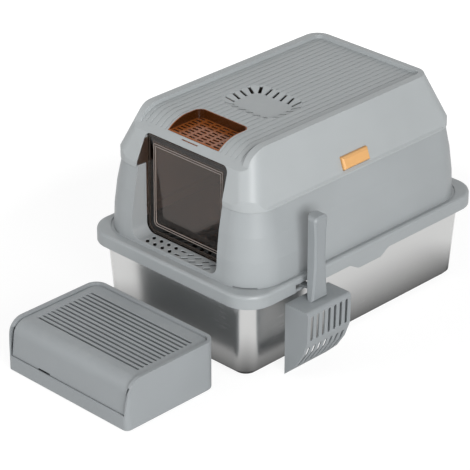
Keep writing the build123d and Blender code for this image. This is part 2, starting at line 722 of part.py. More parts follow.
def build_latch(side):
    """Press button on a lever that pivots at its top, with a straight tongue below."""
    top = LATCH_BOTTOM + LATCH_HEIGHT
    low = LATCH_BOTTOM - LATCH_SWING_GAP
    wall_low = hood_side_x(LATCH_BOTTOM)
    wall_high = hood_side_x(top)
    back = WALL + LATCH_GAP
    pivot_x, pivot_z = latch_pivot()
    button = make_face(Polyline((wall_low + LATCH_PROUD, LATCH_BOTTOM),
                                (wall_high + LATCH_PROUD, top),
                                (wall_high - back - LATCH_ARM / 2, top),
                                (wall_low - back - LATCH_ARM / 2, LATCH_BOTTOM), close=True))
    button = extrude(Plane.XZ * button, LATCH_LENGTH / 2, both=True)
    button = chamfer(button.faces().sort_by(Axis.X)[-1].edges(), LATCH_CORNER)
    arm = make_face(Polyline((pivot_x + LATCH_ARM / 2, pivot_z), (wall_high - back, top),
                             (hood_side_x(low) - back, low),
                             (hood_side_x(low) - back - LATCH_ARM, low),
                             (wall_high - back - LATCH_ARM, top),
                             (pivot_x - LATCH_ARM / 2, pivot_z), close=True))
    arm = extrude(Plane.XZ * arm, LATCH_LENGTH / 2 - LATCH_GAP, both=True)
    tongue_x = hood_side_x(low) - back - LATCH_GAP - LATCH_ARM / 2
    tongue_z = (low + LATCH_ARM + LATCH_TONGUE_BOTTOM) / 2
    tongue = Pos(tongue_x, 0, tongue_z) * Box(LATCH_ARM, LATCH_TONGUE_WIDTH,
                                              low + LATCH_ARM - LATCH_TONGUE_BOTTOM)
    bar_length = LATCH_LENGTH + 2 * LATCH_EAR_GAP + 2 * LATCH_EAR_WIDTH
    bar = Pos(pivot_x, 0, pivot_z) * Cylinder(LATCH_PIN, bar_length, rotation=(90, 0, 0))
    latch = Pos(0, LATCH_Y, 0) * (button + arm + tongue + bar)
    return latch if side > 0 else mirror(latch, about=Plane.YZ)


def scoop_profile():
    """Side outline of the scoop's head: flat floor, bent toe and open mouth."""
    floor_x = SCOOP_BACK_X + SCOOP_DEPTH
    flat_end = (floor_x - SCOOP_FLOOR_LEAN, SCOOP_TOP - SCOOP_FLAT_LENGTH)
    tip = (SCOOP_BACK_X, SCOOP_TIP_Z)
    arc = RadiusArc(flat_end, tip, SCOOP_TOE_RADIUS)
    toe = [arc @ (i / SCOOP_TOE_FLATS) for i in range(SCOOP_TOE_FLATS + 1)]
    face = make_face(Polyline(*toe, (SCOOP_BACK_X, SCOOP_TOP), (floor_x, SCOOP_TOP), close=True))
    heel = face.vertices().group_by(Axis.Y)[-1].sort_by(Axis.X)[-1]
    return fillet(heel, SCOOP_HEEL_ROUND)


def build_scoop_head():
    """Deep scoop: slotted floor and toe, closed heel and an open mouth."""
    solid = extrude(Plane.XZ * scoop_profile(), SCOOP_WIDTH / 2, both=True)
    inner_face = Plane.XZ * offset(scoop_profile(), -SCOOP_WALL)
    hollow = extrude(inner_face, SCOOP_WIDTH / 2 - SCOOP_WALL, both=True)
    head = solid - hollow - Pos(-2 * SCOOP_WALL, 0, 0) * hollow
    middle_flat = SCOOP_TOP - SCOOP_SLOT_START - SCOOP_SLOT_LENGTH / 2
    middle_toe = SCOOP_TOP - TOE_SLOT_START - TOE_SLOT_LENGTH / 2
    flat = Rot(0, 0, 90) * cut_corners(SCOOP_SLOT_LENGTH, SCOOP_SLOT_WIDTH)
    toe = Rot(0, 0, 90) * cut_corners(TOE_SLOT_LENGTH, SCOOP_SLOT_WIDTH)
    plane = Plane.YZ.offset(SCOOP_BACK_X)
    slots = []
    for i in range(SCOOP_SLOTS):
        y = (i - (SCOOP_SLOTS - 1) / 2) * SCOOP_SLOT_PITCH
        slots.append(extrude(plane * Pos(y, middle_flat) * flat, 2 * SCOOP_DEPTH))
        slots.append(extrude(plane * Pos(y, middle_toe) * toe, 2 * SCOOP_DEPTH))
    return Pos(0, SCOOP_Y, 0) * (head - slots)


def handle_outline(inset, low, high):
    """Front outline of the handle between two heights: wide foot, waist and head."""
    middle = (low + high) / 2

    def side(sign):
        return ThreePointArc((sign * (HANDLE_HALF_BASE - inset), low),
                             (sign * (HANDLE_HALF_WAIST - inset), middle),
                             (sign * (HANDLE_HALF_TOP - inset), high))

    left = side(-1)
    right = side(1)
    return make_face(Curve() + [left, right, Line(left @ 0, right @ 0), Line(left @ 1, right @ 1)])


def handle_bow():
    """Block with the handle's D section: flat towards +X and round towards the box."""
    half = 2 * HANDLE_HALF_BASE
    side_x = HANDLE_FLAT_X - HANDLE_DEPTH * HANDLE_BOW_SHARE
    bow = ThreePointArc((side_x, HANDLE_HALF_BASE), (HANDLE_FLAT_X - HANDLE_DEPTH, 0),
                        (side_x, -HANDLE_HALF_BASE))
    rest = Polyline((side_x, -HANDLE_HALF_BASE), (side_x, -half), (HANDLE_FLAT_X, -half),
                    (HANDLE_FLAT_X, half), (side_x, half), (side_x, HANDLE_HALF_BASE))
    return prism(Pos(0, 0, SCOOP_TOP) * make_face(Curve() + [bow, rest]), HANDLE_LENGTH)



def cover_plate(margin):
    """Plate that fills the recess in the handle's flat face."""
    plane = Plane.YZ.offset(HANDLE_FLAT_X - COVER_SHEET)
    face = handle_outline(HANDLE_EDGE + margin, COVER_BOTTOM, COVER_TOP)
    return extrude(plane * face, COVER_SHEET)


def scoop_hook():
    """Hook at the handle's foot: an arm over the hanger bar and a finger behind it."""
    bar_top = SKIRT_BOTTOM + HANGER_HEIGHT + HOOK_GAP
    bar_inner = SKIRT_HALF_X - SKIRT_WALL - HANGER_WALL
    finger_x = bar_inner - HOOK_GAP - HOOK_SHEET
    reach = HANDLE_FLAT_X - HANDLE_DEPTH / 2 - finger_x
    arm = Pos(finger_x + reach / 2, 0, bar_top + HOOK_SHEET / 2) * Box(reach, HOOK_WIDTH,
                                                                           HOOK_SHEET)
    finger = Pos(finger_x + HOOK_SHEET / 2, 0, bar_top - HOOK_FINGER / 2) * Box(
        HOOK_SHEET, HOOK_WIDTH, HOOK_FINGER)
    return arm + finger


def build_scoop_handle():
    """Waisted D-section handle with a recessed flat face and a hook at its foot."""
    face = handle_outline(0, SCOOP_TOP, HANDLE_TOP)
    face = fillet(face.vertices().group_by(Axis.Y)[-1], HANDLE_TOP_CORNER)
    grip = extrude(Plane.YZ.offset(HANDLE_FLAT_X - HANDLE_DEPTH) * face, HANDLE_DEPTH)
    grip = chamfer(grip.faces().sort_by(Axis.X)[-1].edges(), HANDLE_EDGE) & handle_bow()
    return Pos(0, SCOOP_Y, 0) * (grip - cover_plate(COVER_MARGIN) + scoop_hook())


def build_handle_cover():
    """Flat hourglass plate set in the handle's face."""
    return Pos(0, SCOOP_Y, 0) * cover_plate(COVER_MARGIN + COVER_GAP)


def step_plan(inset, z):
    """Step outline: small front corners and large back corners."""
    front = STEP_FRONT + inset
    back = STEP_BACK - inset
    plan = Rectangle(2 * (STEP_HALF_X - inset), back - front)
    plan = fillet(plan.vertices().group_by(Axis.Y)[-1], STEP_BACK_CORNER - inset)
    plan = fillet(plan.vertices().group_by(Axis.Y)[0], STEP_FRONT_CORNER - inset)
    return Pos(0, (front + back) / 2, z) * plan


def cheek_outline():
    """Side outline of the step: flat top that rolls over into the front."""
    low = FOOT_HEIGHT
    roll = TangentArc((STEP_ROLL_START, STEP_HEIGHT), (CHEEK_ROLL_Y, CHEEK_ROLL_Z), tangent=(-1, 0))
    rest = Polyline((CHEEK_ROLL_Y, CHEEK_ROLL_Z), (STEP_FRONT, LID_SEAM_Z), (STEP_FRONT, low),
                    (STEP_BACK, low), (STEP_BACK, STEP_HEIGHT), (STEP_ROLL_START, STEP_HEIGHT))
    return Curve() + [roll, rest]


def lid_curve(drop_y, drop_z):
    """Lid seen from the side: flat top, rolled edge, crease and sloping apron."""
    top_z = STEP_HEIGHT - LID_BELOW_RIM - drop_z
    crease = (LID_CREASE_Y + drop_y, LID_CREASE_Z)
    flat = Line((STEP_BACK - STEP_RIM, top_z), (STEP_ROLL_START, top_z))
    roll = TangentArc((STEP_ROLL_START, top_z), crease, tangent=(-1, 0))
    apron = Line(crease, (LID_SEAM_Y + drop_y, LID_SEAM_Z))
    return [flat, roll, apron]


def lid_pocket():
    """Space of the lid and all above it, cut out of the step's block."""
    curve = lid_curve(LID_SHEET, LID_SHEET)
    start = curve[0] @ 0
    end = curve[2] @ 1
    loop = Polyline((end.X, end.Y), (STEP_FRONT - STEP_RIM, end.Y),
                    (STEP_FRONT - STEP_RIM, 2 * STEP_HEIGHT), (start.X, 2 * STEP_HEIGHT),
                    (start.X, start.Y))
    half = STEP_HALF_X - STEP_RIM
    block = side_prism(Curve() + curve + loop, half)
    plan = ring_section(half, STEP_FRONT - 2 * STEP_BACK_CORNER, STEP_BACK - STEP_RIM,
                        STEP_BACK_CORNER - STEP_RIM, 0)
    return block & prism(plan, 2 * STEP_HEIGHT)


def build_step_base():
    """Open tray with high cheeks, a bead round its top and a ledge for the lid."""
    block = prism(step_plan(0, 0), STEP_HEIGHT)
    block = block & side_prism(cheek_outline(), FAR)
    ledge_low = STEP_HEIGHT - 2 * STEP_RIM
    floor_z = FOOT_HEIGHT + STEP_WALL
    cavity = prism(step_plan(STEP_WALL, floor_z), ledge_low - floor_z)
    window_half = STEP_HALF_X - STEP_RIM - STEP_LEDGE
    window_back = STEP_BACK - STEP_RIM - STEP_LEDGE
    window = prism(ring_section(window_half, LID_CREASE_Y, window_back, STEP_LEDGE, floor_z), FAR)
    return block - cavity - window - lid_pocket()


def build_step_lid():
    """Slotted lid whose front rolls over into a sloping apron."""
    outer = lid_curve(0, 0)
    inner = lid_curve(LID_SHEET, LID_SHEET)
    back_edge = Line(outer[0] @ 0, inner[0] @ 0)
    hem = Line(outer[2] @ 1, inner[2] @ 1)
    half = STEP_HALF_X - STEP_RIM - LID_GAP
    sheet = side_prism(Curve() + outer + inner + [back_edge, hem], half)
    back = STEP_BACK - STEP_RIM - LID_GAP
    plan = ring_section(half, STEP_FRONT - 2 * STEP_BACK_CORNER, back,
                        STEP_BACK_CORNER - STEP_RIM - LID_GAP, 0)
    lid = sheet & prism(plan, 2 * STEP_HEIGHT)
    length = 2 * (half - LID_SLOT_END_MARGIN)
    for i in range(int(LID_SLOT_SPAN / LID_SLOT_PITCH) + 1):
        y = STEP_ROLL_START + LID_SLOT_BEHIND_ROLL + i * LID_SLOT_PITCH
        slot = Pos(0, y, STEP_HEIGHT) * cut_corners(length, LID_SLOT_WIDTH)
        lid -= extrude(slot, 6 * LID_SHEET, both=True)
    notch = Box(LID_NOTCH_WIDTH, 6 * LID_SHEET, 2 * LID_NOTCH_HEIGHT)
    return lid - Pos(LID_NOTCH_X, LID_SEAM_Y, LID_SEAM_Z) * notch


def build_step_feet():
    """Four rubber pads under the step."""
    feet = []
    for x in (-1, 1):
        for y in (STEP_FRONT + FOOT_INSET, STEP_BACK - FOOT_INSET):
            spot = Pos(x * (STEP_HALF_X - FOOT_INSET), y, 0)
            feet.append(prism(spot * cut_corners(FOOT_SIZE, FOOT_SIZE), FOOT_HEIGHT))
    return Part() + feet


def main():
    """Build every piece and write one file for each."""
    os.makedirs("parts", exist_ok=True)
    pieces = {
        "steel_pan": build_pan(),
        "lower_fence": build_fence(),
        "upper_hood": build_hood(),
        "roof_basket": build_basket(),
        "flap_door": build_door(),
        "latch_left": build_latch(-1),
        "latch_right": build_latch(1),
        "scoop_head": build_scoop_head(),
        "scoop_handle": build_scoop_handle(),
        "scoop_handle_cover": build_handle_cover(),
        "step_base": build_step_base(),
        "step_lid": build_step_lid(),
        "step_feet": build_step_feet(),
    }
    for name, piece in pieces.items():
        export_step(piece, f"parts/{name}.step")
        print(name, len(piece.solids()), "solids", round(piece.volume / 1000, 1), "cm3")


main()
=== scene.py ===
# %% [markdown]
# # A hooded litter box with a steel pan
# The object is a deep stainless pan with a two-part plastic hood clipped over its rim. The hood has a
# smoked flap door, a sunk and ribbed roof with a vent and a clear amber basket, two press latches, and a
# scoop hung on its skirt. A slotted step stands before the entrance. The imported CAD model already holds
# every rigid piece in its true place, so this script loads it as a fixed frame. Around it come the
# finishes, a few small pieces, the light and the camera.

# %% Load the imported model
from math import cos, radians, sin

import bmesh
import bpy
import numpy as np
from mathutils import Matrix, Vector


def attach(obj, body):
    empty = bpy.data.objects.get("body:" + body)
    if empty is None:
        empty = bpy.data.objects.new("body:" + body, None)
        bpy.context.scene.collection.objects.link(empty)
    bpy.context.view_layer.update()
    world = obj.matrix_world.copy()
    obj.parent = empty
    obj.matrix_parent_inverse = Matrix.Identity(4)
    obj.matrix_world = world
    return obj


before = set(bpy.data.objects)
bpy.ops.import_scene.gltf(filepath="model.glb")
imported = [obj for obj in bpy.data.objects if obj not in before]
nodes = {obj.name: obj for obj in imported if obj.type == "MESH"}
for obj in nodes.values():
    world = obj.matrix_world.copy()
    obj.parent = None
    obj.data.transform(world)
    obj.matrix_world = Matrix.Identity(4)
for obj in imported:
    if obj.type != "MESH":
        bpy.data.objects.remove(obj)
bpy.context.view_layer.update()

# %% [markdown]
# ## Building shader trees in few words
# A material is a tree of nodes. Written call by call it fills pages, so one helper adds a node, gives
# its settings and fills its sockets. A socket takes either a plain value or the output of another node,
# and the helper tells the two apart. Short helpers on top of it add the nodes that come up again and
# again, each with the one output that is wanted.


# %% Helpers that add shader nodes
def fill(tree, node, sockets):
    """Gives each named socket of a node a plain value, or a link from another node's output."""
    for name, value in sockets.items():
        if isinstance(value, bpy.types.NodeSocket):
            tree.links.new(value, node.inputs[name])
        else:
            node.inputs[name].default_value = value


def add(tree, kind, sockets=None, **settings):
    """Adds a node of a kind, with settings as attributes and sockets as values or links."""
    node = tree.nodes.new("ShaderNode" + kind)
    for name, value in settings.items():
        setattr(node, name, value)
    fill(tree, node, sockets or {})
    return node


def maths(tree, operation, *values):
    """Adds a Math node on up to three values or outputs and returns its result."""
    return add(tree, "Math", dict(enumerate(values)), operation=operation).outputs[0]


def vector_maths(tree, operation, *values):
    """The same for vectors. A length and a dot product are numbers, and the rest are vectors."""
    node = add(tree, "VectorMath", dict(enumerate(values)), operation=operation)
    return node.outputs["Value" if operation in ("LENGTH", "DOT_PRODUCT") else "Vector"]


def ramp(tree, value, low, high, to_low=0.0, to_high=1.0):
    """Maps a value between two limits onto another pair, held at the ends."""
    sockets = {"Value": value, "From Min": low, "From Max": high, "To Min": to_low, "To Max": to_high}
    return add(tree, "MapRange", sockets).outputs["Result"]


def noise(tree, vector, scale, detail, roughness=0.5):
    """Adds a noise and returns its grey value."""
    sockets = {"Vector": vector, "Scale": scale, "Detail": detail, "Roughness": roughness}
    return add(tree, "TexNoise", sockets).outputs["Fac"]


NOISE_LOW, NOISE_HIGH = 0.3, 0.7


def spread(tree, grey, to_low=0.0, to_high=1.0):
    """Maps the narrow range that a noise really uses onto another pair."""
    return ramp(tree, grey, NOISE_LOW, NOISE_HIGH, to_low, to_high)


def facing_up(tree, low, high):
    """One where the surface faces up, nought where its normal's height is low, and a ramp between."""
    normal = add(tree, "NewGeometry").outputs["Normal"]
    return ramp(tree, add(tree, "SeparateXYZ", {"Vector": normal}).outputs["Z"], low, high)


# %% Helpers that mix
MIX_SHARE, MIX_COLOUR_A, MIX_COLOUR_B, MIX_COLOUR_OUT = 0, 6, 7, 2


def mixed_colour(tree, share, first, second):
    """Mixes two colours by a share and returns the colour. The Mix node has several sockets of one name,
    for numbers, vectors and colours, so they are taken by their places."""
    sockets = {MIX_SHARE: share, MIX_COLOUR_A: first, MIX_COLOUR_B: second}
    return add(tree, "Mix", sockets, data_type="RGBA").outputs[MIX_COLOUR_OUT]


def mixed_shader(tree, share, first, second):
    """Mixes two shaders by a share and returns the mix."""
    return add(tree, "MixShader", {0: share, 1: first, 2: second}).outputs["Shader"]


def is_ray(tree, *kinds):
    """One for a ray of any of the named kinds, nought for every other ray."""
    path = add(tree, "LightPath").outputs
    result = path[f"Is {kinds[0]} Ray"]
    for kind in kinds[1:]:
        result = maths(tree, "MAXIMUM", result, path[f"Is {kind} Ray"])
    return result


def shade(colour, factor=1.0):
    """A colour made lighter or darker by a factor, with full alpha."""
    return (*[min(1.0, c * factor) for c in colour], 1.0)


# %% [markdown]
# ## Effects shared by several finishes
# Some effects belong to more than one finish: the fine texture that a mould leaves, the soft rounding of
# a moulded edge, and dust that settles on what faces up. Each becomes a node group with named inputs and
# outputs, built once. A group gives out only masks, heights and normals; the shader itself stays in each
# material, so that the finish of every material can be read in one place.


# %% Helpers that start and place a node group
def start_group(name, inputs, outputs):
    """Makes a shader node group with typed sockets and returns it, its given values and its end node."""
    group = bpy.data.node_groups.new(name, "ShaderNodeTree")
    for label, kind, value in inputs:
        socket = group.interface.new_socket(label, in_out="INPUT", socket_type="NodeSocket" + kind)
        if value is not None:
            socket.default_value = value
    for label, kind in outputs:
        group.interface.new_socket(label, in_out="OUTPUT", socket_type="NodeSocket" + kind)
    given = group.nodes.new("NodeGroupInput").outputs
    end = group.nodes.new("NodeGroupOutput")
    return group, given, end


def place_group(tree, group, sockets):
    """Adds a node group to a material's tree with its own input values and returns its outputs."""
    return add(tree, "Group", sockets, node_tree=group).outputs


# %% [markdown]
# ### The texture of the mould
# A spark-eroded mould leaves a fine, even grain on plastic, a fraction of a millimetre wide, and the
# plastic's colour drifts very slightly over a hand's width. Two noises do both: a fine one for height and
# a broad one for the drift.

# %% Group: mould grain
mould_grain, given, end = start_group(
    "mould_grain",
    [("Position", "Vector", None), ("Grain per metre", "Float", 900.0), ("Drift per metre", "Float", 9.0)],
    [("Height", "Float"), ("Drift", "Float")])
fine = noise(mould_grain, given["Position"], given["Grain per metre"], detail=3.0, roughness=0.6)
broad = noise(mould_grain, given["Position"], given["Drift per metre"], detail=2.0)
fill(mould_grain, end, {"Height": fine, "Drift": spread(mould_grain, broad)})
print("group:", mould_grain.name, "with", len(mould_grain.nodes), "nodes")

# %% [markdown]
# ### Softened edges and edge wear
# No moulded or pressed edge is sharp. A Bevel node rounds the shading normal near an edge, which catches
# a thin highlight as the real radius does. Where that normal leaves the true one, there is an edge, and
# the same difference gives a mask for the slight polish that hands leave. The dot product of the two
# normals is one where they agree and falls as they part.

# %% Group: soft edges
EDGE_BEGINS, EDGE_FULL = 0.97, 0.75
BEVEL_SAMPLES = 6
soft_edges, given, end = start_group(
    "soft_edges", [("Radius", "Float", 0.001)], [("Normal", "Vector"), ("Edge", "Float")])
rounded = add(soft_edges, "Bevel", {"Radius": given["Radius"]}, samples=BEVEL_SAMPLES).outputs["Normal"]
true_normal = add(soft_edges, "NewGeometry").outputs["Normal"]
agreement = vector_maths(soft_edges, "DOT_PRODUCT", rounded, true_normal)
fill(soft_edges, end, {"Normal": rounded, "Edge": ramp(soft_edges, agreement, EDGE_BEGINS, EDGE_FULL)})
print("group:", soft_edges.name, "with", len(soft_edges.nodes), "nodes")

# %% [markdown]
# ### A trace of dust
# Even a new box gathers a little pale dust on what faces up. The mask is the upward part of the normal,
# broken by noise, and it stays faint.

# %% Group: settled dust
PATCH_EDGE, PATCH_CORE = 0.45, 0.75
settled_dust, given, end = start_group(
    "settled_dust", [("Position", "Vector", None), ("Patches per metre", "Float", 40.0)],
    [("Mask", "Float")])
patches = noise(settled_dust, given["Position"], given["Patches per metre"], detail=6.0, roughness=0.7)
broken = ramp(settled_dust, patches, PATCH_EDGE, PATCH_CORE)
level_part = facing_up(settled_dust, low=0.5, high=1.0)
fill(settled_dust, end, {"Mask": maths(settled_dust, "MULTIPLY", level_part, broken)})
print("group:", settled_dust.name, "with", len(settled_dust.nodes), "nodes")

# %% [markdown]
# ## Moulded plastic
# The hood, fence, scoop and step are one grey plastic. The fence, step and scoop get darker greys than the
# hood, as painted shade for the lower parts, which get less light. Its colour is a cool mid grey with a
# satin gloss. The drift and the dust move the colour a little, the edges are a shade lighter, and the
# grain feeds the bump. The same recipe in other colours makes the orange latches and the rubber feet.


# %% Function: start a material
def start_material(name):
    """Makes an empty node material and returns it with its tree, shader, end node and position."""
    material = bpy.data.materials.new(name)
    material.use_nodes = True
    tree = material.node_tree
    tree.nodes.clear()
    shader = add(tree, "BsdfPrincipled")
    end = add(tree, "OutputMaterial", {"Surface": shader.outputs["BSDF"]})
    position = add(tree, "TexCoord").outputs["Object"]
    print("material:", name)
    return material, tree, shader, end, position


# %% Function: moulded plastic
PLASTIC_EDGE, GRAIN_DEPTH = 0.0012, 0.00003
DRIFT_DARK, DRIFT_LIGHT, RUBBED_LIGHT = 0.97, 1.03, 1.18
EDGE_WEAR, DUST_SHARE = 0.5, 0.10
DUST_COLOUR = (0.62, 0.61, 0.58, 1.0)
SMOOTHER, ROUGHER = 0.03, 0.04


def moulded_plastic(name, colour, roughness=0.42, grain=900.0):
    """Satin plastic: drifting colour, lighter rubbed edges, faint dust and a fine mould grain."""
    material, tree, shader, _, position = start_material(name)
    mould = place_group(tree, mould_grain, {"Position": position, "Grain per metre": grain})
    edge = place_group(tree, soft_edges, {"Radius": PLASTIC_EDGE})
    dust = place_group(tree, settled_dust, {"Position": position})
    body = mixed_colour(tree, mould["Drift"], shade(colour, DRIFT_DARK), shade(colour, DRIFT_LIGHT))
    wear = maths(tree, "MULTIPLY", edge["Edge"], EDGE_WEAR)
    rubbed = mixed_colour(tree, wear, body, shade(colour, RUBBED_LIGHT))
    dusty = mixed_colour(tree, maths(tree, "MULTIPLY", dust["Mask"], DUST_SHARE), rubbed, DUST_COLOUR)
    rough = ramp(tree, mould["Drift"], 0.0, 1.0, roughness - SMOOTHER, roughness + ROUGHER)
    bump = add(tree, "Bump", {"Height": mould["Height"], "Normal": edge["Normal"], "Strength": 0.6,
                              "Distance": GRAIN_DEPTH})
    fill(tree, shader, {"Base Color": dusty, "Roughness": rough, "Normal": bump.outputs["Normal"]})
    return material


# %% The moulded plastics
HOOD_GREY = (0.400, 0.424, 0.432)
# The fence, step and scoop greys are darker than the hood's: painted shade for the lower pieces.
FENCE_GREY_WITH_PAINTED_SHADE = (0.340, 0.362, 0.372)
STEP_GREY_WITH_PAINTED_SHADE = (0.298, 0.318, 0.330)
SCOOP_GREY_WITH_PAINTED_SHADE = (0.270, 0.290, 0.302)
LATCH_ORANGE = (0.74, 0.40, 0.145)
RUBBER_BLACK = (0.045, 0.045, 0.047)
hood_plastic = moulded_plastic("hood_grey_plastic", HOOD_GREY)
fence_plastic = moulded_plastic("fence_grey_plastic", FENCE_GREY_WITH_PAINTED_SHADE)
step_plastic = moulded_plastic("step_grey_plastic", STEP_GREY_WITH_PAINTED_SHADE, roughness=0.48)
scoop_plastic = moulded_plastic("scoop_grey_plastic", SCOOP_GREY_WITH_PAINTED_SHADE, roughness=0.45)
latch_plastic = moulded_plastic("latch_orange_plastic", LATCH_ORANGE, roughness=0.38)
foot_rubber = moulded_plastic("step_foot_rubber", RUBBER_BLACK, roughness=0.75, grain=500.0)

# %% [markdown]
# ## Brushed steel
# The pan is deep drawn and then brushed along its length, so fine lines run level round its walls. The
# lines are a noise stretched flat: many per metre upwards, few along. They move the roughness and the
# height, and broad clouds move the roughness and the metal's own colour a little. The steel shows what
# stands before it, so the gap between pan and step makes its front dark, and the floor's painted shadow
# darkens its foot.

# %% Material: brushed steel
STEEL_GREY = (0.62, 0.62, 0.615)
LINES_PER_METRE, CLOUDS_PER_METRE = (9.0, 9.0, 5200.0), 7.0
LINE_DEPTH, STEEL_EDGE = 0.00001, 0.001
LINE_SMOOTH, LINE_ROUGH = 0.19, 0.25
CLOUD_SMOOTH, CLOUD_ROUGH = -0.02, 0.04
CLOUD_DARK, CLOUD_LIGHT = 0.94, 1.05


def brushed_steel(name, colour):
    """Stainless steel with level brush lines in its walls and a soft, stretched reflection."""
    material, tree, shader, _, position = start_material(name)
    stretch = add(tree, "Mapping", {"Vector": position, "Scale": LINES_PER_METRE}).outputs["Vector"]
    lines = noise(tree, stretch, 1.0, detail=2.0)
    clouds = noise(tree, position, CLOUDS_PER_METRE, detail=3.0)
    edge = place_group(tree, soft_edges, {"Radius": STEEL_EDGE})
    tone = mixed_colour(tree, clouds, shade(colour, CLOUD_DARK), shade(colour, CLOUD_LIGHT))
    rough = maths(tree, "ADD", spread(tree, lines, LINE_SMOOTH, LINE_ROUGH),
                  spread(tree, clouds, CLOUD_SMOOTH, CLOUD_ROUGH))
    bump = add(tree, "Bump", {"Height": lines, "Normal": edge["Normal"], "Strength": 0.12,
                              "Distance": LINE_DEPTH})
    fill(tree, shader, {"Base Color": tone, "Roughness": rough, "Normal": bump.outputs["Normal"],
                        "Metallic": 1.0, "Anisotropic": 0.35})
    return material


pan_steel = brushed_steel("pan_brushed_steel", STEEL_GREY)

# %% [markdown]
# ## Clear plastics
# The flap is smoked brown and the basket amber. Both let light through, so the shader has transmission and
# a tint, less of the first in the basket, which is cloudier. Glass casts a black shadow unless light is
# traced through it, so rays to the lamps pass a plain transparent shader, tinted as the plastic is, and
# the cabin is lit. The edges are drawn as pale lines by a faint glow on the edge mask: a painted highlight
# for the light that runs inside a clear sheet and comes out at its edges. The walls of the basket stand
# against the dark well, so what doesn't face up is painted a deeper colour, as painted shade. The flap's
# border is painted almost black, as painted shade for the dark that shows through it.


# %% Function: the painted shade on the flap's border
def painted_shade_border_mask(tree, position, half_width, low, high, fade):
    """One outside a rectangle in x and z, nought inside it, with a soft step between."""
    place = add(tree, "SeparateXYZ", {"Vector": position}).outputs
    sides = ramp(tree, maths(tree, "ABSOLUTE", place["X"]), half_width - fade, half_width)
    below = ramp(tree, place["Z"], low + fade, low)
    above = ramp(tree, place["Z"], high - fade, high)
    return maths(tree, "MAXIMUM", sides, maths(tree, "MAXIMUM", below, above))


# %% Function: clear plastic
CLEAR_GRAIN, CLEAR_GRAIN_DEPTH, CLEAR_INDEX = 120.0, 0.00002, 1.49
# The border factor paints the flap's border dark, as painted shade.
CLEAR_DRIFT, DRIFTED_DARK, PAINTED_BORDER_SHADE = 0.15, 0.85, 0.16
CLEAR_ROUGHER = 0.03
BLACK = (0.0, 0.0, 0.0, 1.0)


def clear_plastic(name, colour, painted_side_shade, shadow, roughness, transmission, painted_edge_glow, specular=0.5,
                  border=None):
    """Tinted clear plastic with pale edges of painted glow, which lets the lamps' light through to what is
    behind. What doesn't face up has a share of the colour, as painted shade, and a border, where there is
    one, has little of it, also as painted shade."""
    material, tree, shader, end, position = start_material(name)
    mould = place_group(tree, mould_grain, {"Position": position, "Grain per metre": CLEAR_GRAIN})
    edge = place_group(tree, soft_edges, {"Radius": PLASTIC_EDGE})
    # What doesn't face up is painted a deeper colour: painted shade.
    unshaded_top = facing_up(tree, low=0.2, high=0.8)
    body = mixed_colour(tree, unshaded_top, shade(colour, painted_side_shade), shade(colour))
    drifted = mixed_colour(tree, mould["Drift"], body, shade(colour, DRIFTED_DARK))
    tint = mixed_colour(tree, CLEAR_DRIFT, body, drifted)
    # The border is painted darker still: painted shade.
    if border:
        outside = painted_shade_border_mask(tree, position, **border)
        tint = mixed_colour(tree, outside, tint, shade(colour, PAINTED_BORDER_SHADE))
    bump = add(tree, "Bump", {"Height": mould["Height"], "Strength": 0.3, "Distance": CLEAR_GRAIN_DEPTH})
    fill(tree, shader, {
        "Base Color": tint,
        "Roughness": ramp(tree, mould["Drift"], 0.0, 1.0, roughness, roughness + CLEAR_ROUGHER),
        "Normal": bump.outputs["Normal"],
        "IOR": CLEAR_INDEX,
        "Specular IOR Level": specular,
        "Transmission Weight": transmission,
        # The faint glow on the edges is a painted highlight.
        "Emission Color": mixed_colour(tree, edge["Edge"], BLACK, shade(painted_edge_glow)),
        "Emission Strength": 1.0})
    through = add(tree, "BsdfTransparent", {"Color": shade(shadow)}).outputs["BSDF"]
    surface = mixed_shader(tree, is_ray(tree, "Shadow"), shader.outputs["BSDF"], through)
    fill(tree, end, {"Surface": surface})
    return material


# %% The clear plastics
# The flap's border and the basket's walls carry painted shade, and both plastics a painted edge glow.
DOOR_PAINTED_SHADE_BORDER = {"half_width": 0.0870, "low": 0.2000, "high": 0.3620, "fade": 0.003}
smoked_plastic = clear_plastic(
    "door_smoked_plastic", colour=(0.42, 0.27, 0.19), painted_side_shade=1.0, shadow=(0.42, 0.30, 0.24),
    roughness=0.05, transmission=1.0, painted_edge_glow=(0.11, 0.085, 0.07), border=DOOR_PAINTED_SHADE_BORDER)
amber_plastic = clear_plastic(
    "basket_amber_plastic", colour=(0.40, 0.115, 0.022), painted_side_shade=0.12, shadow=(0.40, 0.15, 0.06),
    roughness=0.22, transmission=0.30, painted_edge_glow=(0.03, 0.01, 0.004), specular=0.25)

# %% [markdown]
# ## Giving each piece its finish
# A CAD node keeps its mesh and its place. Only the material in its slot changes.

# %% Assign the finishes
finishes = {
    "steel_pan": pan_steel,
    "lower_fence": fence_plastic,
    "upper_hood": hood_plastic,
    "roof_basket": amber_plastic,
    "flap_door": smoked_plastic,
    "latch_left": latch_plastic,
    "latch_right": latch_plastic,
    "scoop_head": scoop_plastic,
    "scoop_handle": scoop_plastic,
    "scoop_handle_cover": scoop_plastic,
    "step_base": step_plastic,
    "step_lid": step_plastic,
    "step_feet": foot_rubber,
}
for name, material in finishes.items():
    mesh = nodes[name].data
    mesh.materials.clear()
    mesh.materials.append(material)
print("finished nodes:", len(finishes), "of", len(nodes))

# %% [markdown]
# ## Small additions
# Each added piece is a grid of points worked out with numpy. A helper turns the points and faces into a
# mesh, makes all faces point outwards, and hands the piece to the body that carries it.

# %% Function: a piece from points and faces
SHARP_EDGE = radians(35)


